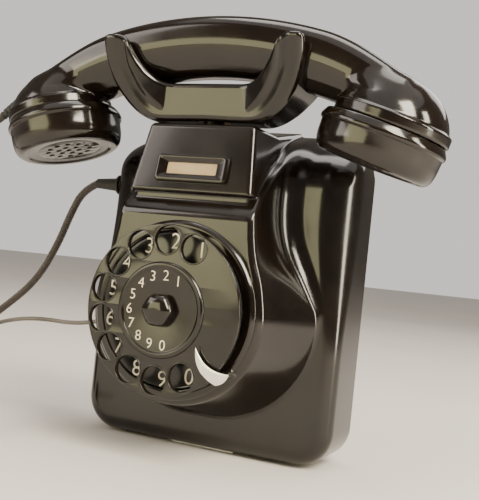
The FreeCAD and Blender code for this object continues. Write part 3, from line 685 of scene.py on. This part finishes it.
def bell_outline():
    """Section of the handle, flared below: depth from its middle and radius from the arc's centre."""
    right = [(0, 176.9), (6.4, 177.3), (12.5, 183.0), (15, 190), (14.6, 199.2), (12.6, 202.2),
             (9, 204.3), (0, 204.9)]
    return right + [(-y, r) for y, r in reversed(right[1:-1])]


BELL = flat_field(softened(bell_outline(), 2.6, 5), 30, 0.3)


def cup_axes(x, z):
    """Height and outward distance of a point from the foot of its side's cup."""
    dx, dz = np.abs(x) - CAP_FOOT[0], z - CAP_FOOT[1]
    return (dx * math.sin(CAP_TILT) + dz * math.cos(CAP_TILT),
            dx * math.cos(CAP_TILT) - dz * math.sin(CAP_TILT))


HANDLE_DEEP, HANDLE_DROP, HANDLE_END_DEG = 24.9, 4.6, 29.0
CUP_SEAM, DOME_Z, DOME_R, DOME_HIGH = 18.3, 17.5, 25.4, 23.8
CUP_REACH = -30  # inwards limit of the seam's cut, which spares the handle


def handset_solid(x, y, z):
    """Arched handle that thins towards its ends, domed cups and their rings."""
    w = y - HANDSET_Y
    rho = np.hypot(x, z - ARC_CENTRE_Z)
    theta = np.degrees(np.arctan2(np.abs(x), z - ARC_CENTRE_Z))
    drop = HANDLE_DROP * smoothstep(theta, 15.5, HANDLE_END_DEG)
    stretch = (HANDLE_DEEP - drop) / HANDLE_DEEP
    handle = BELL(w, ARC_R + (rho - ARC_R) / stretch)
    handle = rounded_cut(handle, (theta - HANDLE_END_DEG) * 3.2, 2.0)
    s, out = cup_axes(x, z)
    across = np.hypot(out - DOME_OFFSET, w)
    k0 = np.sqrt((across / DOME_R) ** 2 + ((s - DOME_Z) / DOME_HIGH) ** 2)
    k1 = np.sqrt((across / DOME_R ** 2) ** 2 + ((s - DOME_Z) / DOME_HIGH ** 2) ** 2)
    dome = k0 * (k0 - 1) / np.maximum(k1, 1e-6)
    dome = np.maximum(dome, CUP_SEAM - s)
    flare = 1.8 + 4.5 * smoothstep(rho, 181, 188) * (1 - smoothstep(rho, 193, 202))
    shape = fillet(handle, dome, flare)
    ring = rounded_cut(across - 26.1, np.abs(s - 20.8) - 2.5, 0.9)
    return fillet(shape, ring, 1.1)


def handset_field(x, y, z):
    """The handset above its seams, with hollow cups and the necks that hold the caps."""
    shape = handset_solid(x, y, z)
    s, out = cup_axes(x, z)
    r = np.hypot(out, y - HANDSET_Y)
    shape = np.maximum(shape, np.where(out > CUP_REACH, CUP_SEAM - s, -50))
    neck = np.maximum(r - 24.2, np.abs(s - 13.5) - 6.2)
    shape = np.minimum(shape, neck)
    cavity = np.maximum(r - 21.5 + np.maximum(s - 27, 0), s - 36)
    return rounded_cut(shape, -cavity, 0.3)


CAP_PROFILE = [(15.5, 1.1, 0.3), (20.2, 1.0, 0.5), (21.2, 0.2, 0.5), (24.2, 0.1, 1.5), (26.4, 2.4, 1.6),
               (27.3, 6.5, 1.5), (27.6, 12.8, 0.3), (28.5, 13.4, 0.4), (28.6, 14.8, 0.7), (26.9, 18.0, 0.5),
               (24.6, 18.0, 0.2), (24.6, 3.2, 0.2), (15.5, 3.2, 0.2)]
SOUND_HOLE_R = 1.25
SOUND_HOLE_RINGS = ((1, 0.001), (6, 5.2), (12, 10.4))


def sound_holes():
    holes = []
    for n, r in SOUND_HOLE_RINGS:
        for i in range(n):
            a = 2 * math.pi * (i + 0.5) / n
            holes.append(circle(r * math.cos(a), r * math.sin(a), SOUND_HOLE_R, 20))
    return holes


def make_cap(name, side, material):
    """Screw cap on one cup: a turned rim and a face with its sound holes."""
    up = Vector((side * math.sin(CAP_TILT), 0, math.cos(CAP_TILT)))
    origin = Vector((side * CAP_FOOT[0], HANDSET_Y, CAP_FOOT[1]))
    rim = lathe(name + "_rim", CAP_PROFILE, origin, up, material, 0.3, 160, 28)
    face = plate(name + "_face", [circle(0, 0, 15.9, 96)] + sound_holes(), 0, 2.2, material, 0.35)
    turn = Vector((0, 1, 0)).rotation_difference(up).to_matrix().to_4x4()
    face.data.transform(Matrix.Translation((origin + up * 1.0) * MM) @ turn)
    place(joined(name + "_shell", [rim, face]), "handset", [name])


def make_handset(materials):
    step = 0.65
    body = surface("handset_shell", handset_field, (-115, -81.5, 36), (115, -24.5, 107.5), step,
                   materials["handset"])
    place(body, "handset", ["handset_body"])
    for name, side in (("ear_cap", 1), ("mouth_cap", -1)):
        make_cap(name, side, materials["handset"])


# --- cradle -------------------------------------------------------------------

CRADLE_OUTER = [(0, 55.3), (18, 54.9), (29, 54.9), (34.8, 57.4), (40.8, 62.6), (46.5, 70.4), (48.9, 77),
                (50.4, 84.5), (50.3, 92.6)]
CRADLE_INNER = [(40.6, 92.8), (37.2, 89.2), (34.4, 83.3), (29.7, 77.4), (24.9, 73.8), (20.8, SADDLE_Z),
                (0, SADDLE_Z)]
CRADLE_RIDGE = [(0, 58.2), (21.1, 58.2), (28.2, 62.0), (34.5, 68.8), (39.4, 78.7), (40.5, 92.2)]


def mirrored_loop(points):
    return points + [(-x, z) for x, z in reversed(points) if x > 0]


CRADLE_FACE = flat_field(softened(mirrored_loop(CRADLE_OUTER + CRADLE_INNER), 3.0, 4), 14, 0.3)
CRADLE_BAND = flat_field(softened(mirrored_loop(CRADLE_RIDGE + [(40.5, 110)]), 3.0, 4), 14, 0.3)


def cradle_field(x, y, z):
    """U shape that deepens upwards, with a raised band outside and a channel for the handle."""
    w = y - HANDSET_Y
    outline = CRADLE_FACE(x, z)
    ridge = CRADLE_BAND(x, z)
    reach = 8.5 + (z - 55.6) * 14.3 / 36.6
    band = 1.3 * smoothstep(ridge, -0.6, 4.5)
    slant = 0.18 * (np.sqrt(ridge ** 2 + 0.4) - ridge)
    crease = 0.22 * np.clip(np.abs(x) - 21, 0, 10) * smoothstep(-ridge, 0, 3)
    front = (-w - reach - band + slant - crease) * 0.9
    rear = (w - reach + 0.12 * np.maximum(-ridge, 0)) * 0.93
    shape = rounded_cut(outline, np.maximum(front, rear), 2.6)
    channel = np.interp(z, [60, 71.6, 84, 94, 100], [7.6, 8.4, 16.0, 19.2, 21])
    cut = rounded_cut(np.abs(w) - channel, SADDLE_Z - z, 2.5)
    shape = rounded_cut(shape, -cut, 1.0)
    hole = np.maximum(np.hypot(x, y - PLUNGER_Y) - 5.05, z - 62)
    return np.maximum(shape, -hole)


def make_cradle(materials):
    step = 0.55
    piece = surface("cradle_horns", cradle_field, (-52.5, -79, 53), (52.5, -28, 94.5), step,
                    materials["casing"])
    place(piece, "cradle", ["cradle_fork"])


# --- dial ---------------------------------------------------------------------

def polar(r, degrees):
    return r * math.cos(math.radians(degrees)), DIAL_Z + r * math.sin(math.radians(degrees))


def finger_hole_places():
    return [polar(HOLE_RING_R, FIRST_HOLE_DEG + HOLE_STEP_DEG * i) for i in range(10)]


def digit(text, x, z, size, y):
    """Thin flat digit of the given height, centred on (x, z) and facing the user."""
    curve = bpy.data.curves.new("digit_" + text, "FONT")
    curve.body, curve.size = text, size * 1.37 * MM
    curve.align_x, curve.align_y = "CENTER", "CENTER"
    curve.extrude = 0.00003
    curve.offset = -0.00006 * size / 5
    curve.resolution_u = 6
    holder = bpy.data.objects.new("digit", curve)
    bpy.context.scene.collection.objects.link(holder)
    mesh = bpy.data.meshes.new_from_object(holder.evaluated_get(bpy.context.evaluated_depsgraph_get()))
    bpy.data.objects.remove(holder)
    xs = [v.co.x for v in mesh.vertices]
    zs = [v.co.y for v in mesh.vertices]
    centre = Vector(((min(xs) + max(xs)) / 2, (min(zs) + max(zs)) / 2, 0))
    mesh.transform(Matrix.Translation(-centre))
    mesh.transform(Matrix.Translation((x * MM, y * MM, z * MM)) @ Matrix.Rotation(math.pi / 2, 4, "X"))
    piece = bpy.data.objects.new("digit_" + text, mesh)
    bpy.context.scene.collection.objects.link(piece)
    return piece


def make_digits(materials):
    order = "1234567890"
    small = [digit(t, *polar(15.4, 60 + 24.6 * i), 4.8, WHEEL_FRONT - 0.74) for i, t in enumerate(order)]
    large = [digit(t, *spot, 7.5, PLATE_FRONT - 0.05) for t, spot in zip(order, finger_hole_places())]
    for name, pieces, body in (("disc_digits", small, "dial"), ("plate_digits", large, "casing")):
        piece = joined(name, pieces)
        piece.data.materials.clear()
        piece.data.materials.append(materials["digits"])
        place(piece, body, (), "enamel")


def make_finger_wheel(material):
    """Wheel with ten finger holes, each with a raised rim."""
    front = WHEEL_FRONT
    holes = [circle(x, z, 6.2, 72) for x, z in finger_hole_places()]
    wheel = plate("wheel_plate", [circle(0, DIAL_Z, WHEEL_R, 240), circle(0, DIAL_Z, 3.0, 32)] + holes,
                  front, front + 2.6, material, 0.45)
    loop = [(6.25, front - 0.28), (6.75, front - 0.28), (7.1, front + 0.25), (6.25, front + 0.25)]
    rims = [lathe("hole_rim_%d" % i, loop, (x, 0, z), (0, 1, 0), material, 0.15, 64)
            for i, (x, z) in enumerate(finger_hole_places())]
    place(joined("finger_wheel_disc", [wheel] + rims), "dial", ["finger_wheel"])


def make_number_disc(material):
    front = WHEEL_FRONT
    disc = [(3.0, front + 0.2, 0.05), (3.0, front - 0.7, 0.05), (18.4, front - 0.7, 0.4),
            (19.0, front - 1.35, 0.4), (20.5, front - 1.35, 0.4), (21.3, front - 0.5, 0.4),
            (21.3, front + 0.2, 0.05)]
    place(lathe("number_disc_plate", disc, (0, 0, DIAL_Z), (0, 1, 0), material, 0.3, 160),
          "dial", ["number_disc"])


def make_bezel(material):
    bore, rim, face = 35.2, 40.6, -73.4
    inside, back = 37.9, BULGE_FRONT + 6
    ring = [(bore, face + 0.8, 0.4), (bore + 0.9, face, 0.5), (rim - 1.5, face, 0.8), (rim, face + 1.4, 0.6),
            (rim, BULGE_FRONT, 0.1), (inside, BULGE_FRONT, 0.1), (inside, back, 0.1), (bore, back, 0.1)]
    place(lathe("bezel_ring", ring, (0, 0, DIAL_Z), (0, 1, 0), material, 0.3, 200), "casing", ["dial_bezel"])


def make_number_plate(material):
    disc = plate("number_plate_disc", [circle(0, DIAL_Z, 34.5, 160), circle(0, DIAL_Z, 4.0, 32)],
                 PLATE_FRONT, PLATE_FRONT + 1.5, material, 0.2)
    place(disc, "casing", ["number_plate"], "enamel")


def make_dial(materials):
    make_finger_wheel(materials["dial"])
    make_number_disc(materials["dial"])
    make_knob(materials["dial"])
    make_bezel(materials["casing"])
    make_number_plate(materials["enamel"])
    make_finger_stop(materials["chrome"])


KNOB_LEVELS = ((1.0, 0.0), (1.0, 1.2), (0.985, 2.4), (0.93, 3.5), (0.82, 4.4), (0.62, 5.1), (0.36, 5.5),
               (0.12, 5.62))


def make_knob(material):
    """Six-sided domed cap with soft edges."""
    count, rows = 72, []
    angles = np.arange(count) * 2 * math.pi / count
    for level, lift in KNOB_LEVELS:
        soft = 0.35 + 0.65 * (1 - level)
        turn = (np.degrees(angles) % 60) - 30
        hexagon = math.cos(math.radians(30)) / np.cos(np.radians(turn)) * 1.1
        r = 7.4 * level * ((1 - soft) * np.minimum(hexagon, 1.06) + soft * 0.98)
        rows.append(np.stack([r * np.cos(angles), np.full(count, WHEEL_FRONT - 0.7 - lift),
                              DIAL_Z + r * np.sin(angles)], 1))
    faces = bands(len(rows), count)
    faces += [list(range(count)), list(range((len(rows) - 1) * count, len(rows) * count))]
    piece = add_object("hexagonal_knob", np.concatenate(rows), faces, material, 40)
    tidy_poles(piece)
    place(piece, "dial", ["centre_knob"])


def arc_points(a, b, c, count=16):
    """Points of a quadratic curve from a to c through b."""
    a, b, c = (np.array(p) for p in (a, b, c))
    control = 2 * b - (a + c) / 2
    return [tuple(a * (1 - t) ** 2 + control * 2 * t * (1 - t) + c * t * t) for t in np.linspace(0, 1, count)]


def shifted(point, dx, dz):
    return point[0] + dx, point[1] + dz


def make_finger_stop(material):
    """Curved metal blade over the wheel, on a stem fixed beside the dial."""
    tip, low, end = polar(24.4, -33.5), polar(42.2, -42.0), polar(43.4, -31.5)
    below, above = shifted(polar(33.0, -40.6), -2.2, -1.2), shifted(polar(34.2, -33.2), -1.6, -2.0)
    loop = (arc_points(tip, below, low)[:-1] + arc_points(low, polar(43.9, -36.8), end, 8)[:-1]
            + arc_points(end, above, tip)[:-1])
    y = WHEEL_FRONT - 2.9
    blade = plate("stop_plate", [loop], y, y + 1.2, material, 0.3)
    x, z = polar(40.8, -37)
    stem_r, soft, top = 1.7, 0.02, y + 0.8
    profile = [(0, top, soft), (stem_r, top, soft), (stem_r, BULGE_FRONT, soft), (0, BULGE_FRONT, soft)]
    stem = lathe("stop_stem", profile, (x, 0, z), (0, 1, 0), material, 0.05, 32)
    place(joined("finger_stop_blade", [blade, stem]), "casing", ["finger_stop"], "chrome")


# --- label --------------------------------------------------------------------

LABEL_Z = 31.8
LABEL_RINGS = [(18.2, 6.5, 2.0, 0.3), (18.2, 6.5, 2.0, -1.3), (17.9, 6.2, 1.8, -1.9),
               (17.2, 5.5, 1.5, -2.2), (16.7, 5.0, 1.3, -2.2), (16.1, 4.5, 1.1, -1.9),
               (13.2, 3.2, 0.7, -1.35), (12.7, 2.8, 0.6, -1.0), (12.7, 2.8, 0.6, 0.3)]


def rounded_rectangle(half_w, half_h, r, count=8):
    out = []
    for cx, cz, start in ((1, 1, 0), (-1, 1, 90), (-1, -1, 180), (1, -1, 270)):
        for k in range(count + 1):
            a = math.radians(start + 90 * k / count)
            out.append((cx * (half_w - r) + r * math.cos(a), cz * (half_h - r) + r * math.sin(a)))
    return out


def make_label(materials):
    """Frame with a sloped inner border: rings of (half width, half height, corner, depth)."""
    slope = TOWER_LEAN / (TOWER_TOP - TOWER_Z)
    y = TOWER_FRONT + (LABEL_Z - TOWER_Z) * slope
    points = []
    for half_w, half_h, r, depth in LABEL_RINGS:
        points += [(u, depth, v) for u, v in rounded_rectangle(half_w, half_h, r)]
    faces = bands(len(LABEL_RINGS), len(points) // len(LABEL_RINGS), True)
    piece = add_object("label_frame_ring", points, faces, materials["casing"], 30)
    tidy_poles(piece)
    lean = Matrix.Rotation(-math.atan(slope), 4, "X")
    piece.data.transform(Matrix.Translation((0, y * MM, LABEL_Z * MM)) @ lean)
    place(piece, "casing", ["label_frame"])


# --- cords --------------------------------------------------------------------

HANDSET_LOW = [(-82, -20, 26.5), (-92, -18.5, 22.5), (-100, -16.5, 10), (-108, -15, -9), (-121, -14, -31),
               (-143, -15, -50), (-165, -20, -69), (-187, -26, -88), (-212, -26.3, -99.0),
               (-236, -26, -99.4)]
STRAIN_START = Vector((-106.0, HANDSET_Y, 68.0))
STRAIN_DIRECTION = Vector((-0.83, 0, -0.56)).normalized()
STRAIN_LENGTH = 21.0
HANDSET_HIGH = [(-236, -74, -80.5), (-216, -74.2, -78.5), (-201, -72, -64), (-191, -67, -40),
                (-182, -61.5, -13), (-169, -57, 14), (-152, -54, 35)]
HANDSET_HIGH += [tuple(STRAIN_START + STRAIN_DIRECTION * (STRAIN_LENGTH + d)) for d in (16, 0.3)]
LINE_LOW = [(-73, -8, -47), (-83, -8, -49.8), (-99, -7, -52.5), (-119, -5.5, -52.4), (-138, -5, -54.5),
            (-156, -5.5, -60), (-172, -8, -71), (-183, -14, -86), (-189, -25, -97), (-190.3, -40, -100.3),
            (-190, -60, -100.3)]
LINE_HIGH = [(-176, -74, -75.7), (-163, -74.6, -77.2), (-151, -76.5, -83.5), (-141, -79.5, -92),
             (-130, -83, -94.5)]
PLUG_DIRECTION = Vector((0.99, -0.12, 0)).normalized()


def coil_points(centre, r, start_deg, turns, z0, pitch, per_turn=16):
    """Points of a wound coil after its start, which a run's last point already gives."""
    out = []
    for i in range(1, round(turns * per_turn)):
        a = math.radians(start_deg + 360 * i / per_turn)
        out.append((centre[0] + r * math.cos(a), centre[1] + r * math.sin(a), z0 + pitch * i / per_turn))
    return out


def route_curve(name, points):
    curve = bpy.data.curves.new(name, "CURVE")
    curve.dimensions = "3D"
    spline = curve.splines.new("NURBS")
    spline.points.add(len(points) - 1)
    for target, point in zip(spline.points, points):
        target.co = (point[0] * MM, point[1] * MM, point[2] * MM, 1)
    spline.order_u = 3
    spline.use_endpoint_u = True
    spline.resolution_u = 8
    piece = bpy.data.objects.new(name, curve)
    bpy.context.scene.collection.objects.link(piece)
    return piece


def route_line(name, points, step):
    """Evenly spaced points, in metres, along the route's smooth spline."""
    holder = route_curve(name + "_route", points)
    mesh = bpy.data.meshes.new_from_object(holder.evaluated_get(bpy.context.evaluated_depsgraph_get()))
    line = np.array([v.co for v in mesh.vertices])
    bpy.data.objects.remove(holder)
    run = np.concatenate([[0], np.cumsum(np.linalg.norm(np.diff(line, axis=0), axis=1))])
    count = max(8, int(run[-1] / step))
    marks = np.linspace(0, run[-1], count + 1)
    return np.stack([np.interp(marks, run, line[:, k]) for k in range(3)], 1)


def tube(name, line, radius, material, count):
    """Mesh tube along a line; radius is a function of angle round the tube and distance along it."""
    tangents = np.gradient(line, axis=0)
    tangents /= np.linalg.norm(tangents, axis=1)[:, None]
    side = np.cross(tangents[0], (0, 0, 1.0))
    side /= np.linalg.norm(side)
    angles = np.arange(count) * 2 * math.pi / count
    run = np.concatenate([[0], np.cumsum(np.linalg.norm(np.diff(line, axis=0), axis=1))])
    rows = []
    for point, tangent, distance in zip(line, tangents, run):
        side = side - tangent * side.dot(tangent)
        side /= np.linalg.norm(side)
        other = np.cross(tangent, side)
        r = radius(angles, np.full(count, distance))
        rows.append(point + np.outer(np.cos(angles) * r, side) + np.outer(np.sin(angles) * r, other))
    faces = bands(len(rows), count)
    faces += [list(range(count))[::-1], list(range((len(rows) - 1) * count, len(rows) * count))]
    return add_object(name, np.concatenate(rows) / MM, faces, material, 60)


def braid_radius(angles, distance):
    """Two families of crossing strands that stand out from the cord's core, in metres."""
    core_r, strand_high, repeat = 0.00182, 0.00028, 0.0075
    lead = 2 * math.pi * distance / repeat
    first = np.abs(np.sin(4 * angles + lead))
    second = np.abs(np.sin(4 * angles - lead))
    return core_r + strand_high * np.maximum(first ** 0.7, 0.8 * second ** 0.7)


def make_handset_cord(material):
    points = (HANDSET_LOW + coil_points((-236, -50), 24, 90, 4.5, -99.4, 4.2) + HANDSET_HIGH)
    line = route_line("handset_cord", points, 0.0008)
    cord = tube("braided_cord", line, braid_radius, material, 32)
    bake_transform(cord)
    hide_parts("handset_cord", "handset_cord_coil", "handset_cord_riser")


def make_plug(material):
    """Round plug with a stepped grip; its pins are a CAD node."""
    profile = [(0, 0, 0.02), (2.5, 0, 0.4), (3.0, 7.5, 0.8), (6.4, 12.4, 1.6), (6.9, 15, 1), (6.5, 17, 0.4),
               (6.5, 27, 0.4), (6.9, 29, 0.5), (6.0, 31, 0.8), (0, 31, 0.02)]
    plug = lathe("flex_plug", profile, LINE_HIGH[-1], PLUG_DIRECTION, material, 0.5, 64)
    return place(plug, "casing", ["line_plug"], "dark_plastic")


def make_line_cord(materials):
    points = LINE_LOW + coil_points((-176, -60), 14, 180, 10.25, -100.3, 2.4) + LINE_HIGH
    cord = route_curve("line_flex", points)
    cord.data.bevel_depth, cord.data.bevel_resolution, cord.data.use_fill_caps = 0.0012, 4, True
    cord.data.materials.append(materials["line"])
    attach(cord, "casing")
    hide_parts("line_cord", "line_cord_coil", "line_cord_tail")
    plug = make_plug(materials["dark"])


# --- carried-over CAD nodes, floor and light ----------------------------------

NODE_MATERIALS = {
    "steel": ["wall_plate", "bottom_latch", "housing_screws", "dial_frame", "switch_bracket", "lever_pin",
              "lever_spring", "switch_lever", "ringer_frame", "clapper", "gong_screws", "gong_posts",
              "dial_shaft", "spring_drum"],
    "chrome": ["line_plug_pins"],
    "brass": ["main_gear", "pulse_pinion", "hook_contacts", "pulse_contacts", "terminal_screws",
              "cradle_guide"],
    "gong": ["gong_left", "gong_right"],
    "copper": ["ringer_coils", "induction_coil"],
    "dark": ["terminal_block", "pulse_cam", "cradle_plunger"],
    "can": ["capacitor", "receiver_capsule", "transmitter_capsule"],
    "rubber": ["handset_cord_grommet", "line_cord_grommet", "handset_strain_relief"],
    "card": ["label_paper"],
    "window": ["label_window"],
}


def dress_nodes(materials):
    for key, names in NODE_MATERIALS.items():
        for name in names:
            data = NODES[name].data
            data.materials.clear()
            data.materials.append(materials[key])


def add_floor(material):
    bpy.ops.mesh.primitive_circle_add(vertices=96, radius=6.0, fill_type="NGON",
                                      location=(0, 0, FLOOR_Z * MM))
    floor = bpy.context.object
    floor.name = "floor"
    floor.data.materials.append(material)


def add_area(name, place_at, aim, size, power, colour):
    data = bpy.data.lights.new(name, "AREA")
    data.shape, data.size, data.size_y = "RECTANGLE", size[0], size[1]
    data.energy, data.color = power, colour
    lamp = bpy.data.objects.new(name, data)
    lamp.location = place_at
    lamp.visible_camera = False
    lamp.rotation_euler = (Vector(place_at) - Vector(aim)).to_track_quat("Z", "Y").to_euler()
    bpy.context.scene.collection.objects.link(lamp)


def add_world():
    """Pale where the camera sees it; a dimmer warm surround for reflections."""
    world = bpy.data.worlds.new("studio")
    world.use_nodes = True
    tree = world.node_tree
    seen, around = tree.nodes["Background"], tree.nodes.new("ShaderNodeBackground")
    seen.inputs["Color"].default_value = (0.86, 0.82, 0.78, 1)
    around.inputs["Color"].default_value = (0.80, 0.72, 0.62, 1)
    around.inputs["Strength"].default_value = 0.22
    mix, path = tree.nodes.new("ShaderNodeMixShader"), tree.nodes.new("ShaderNodeLightPath")
    tree.links.new(path.outputs["Is Camera Ray"], mix.inputs["Fac"])
    tree.links.new(around.outputs[0], mix.inputs[1])
    tree.links.new(seen.outputs[0], mix.inputs[2])
    tree.links.new(mix.outputs[0], tree.nodes["World Output"].inputs["Surface"])
    bpy.context.scene.world = world


def add_sun():
    data = bpy.data.lights.new("daylight", "SUN")
    data.energy, data.angle, data.color = 1.3, 1.4, (1.0, 0.96, 0.92)
    lamp = bpy.data.objects.new("daylight", data)
    lamp.rotation_euler = (math.radians(12), math.radians(8), 0)
    bpy.context.scene.collection.objects.link(lamp)


def add_light():
    add_world()
    add_area("key", (0.75, -0.55, 0.75), (0, -0.05, 0), (0.40, 0.6), 26, (1.0, 0.91, 0.72))
    add_area("streak", (0.95, -0.05, 0.25), (0.03, -0.04, -0.02), (0.16, 0.7), 9, (1.0, 0.92, 0.74))
    add_area("fill", (-0.8, -0.7, 0.5), (0, -0.05, 0), (0.6, 0.6), 6, (1.0, 0.90, 0.82))
    add_area("sheen", (-0.55, -1.15, 0.18), (0, -0.05, -0.02), (0.9, 0.45), 7, (0.93, 0.86, 0.50))
    add_area("top", (-0.05, 0.1, 1.1), (0, -0.05, 0.05), (0.8, 0.5), 6, (1.0, 0.95, 0.88))
    add_area("rear", (0.3, 1.0, 0.7), (0, 0, 0), (0.7, 0.5), 3.5, (1.0, 0.95, 0.9))
    add_sun()


add_camera()
MATERIALS = make_materials()
make_handset_cord(MATERIALS["braid"])
make_line_cord(MATERIALS)
dress_nodes(MATERIALS)
make_housing(MATERIALS)
make_handset(MATERIALS)
make_cradle(MATERIALS)
make_dial(MATERIALS)
make_digits(MATERIALS)
make_label(MATERIALS)
add_floor(MATERIALS["floor"])
add_light()
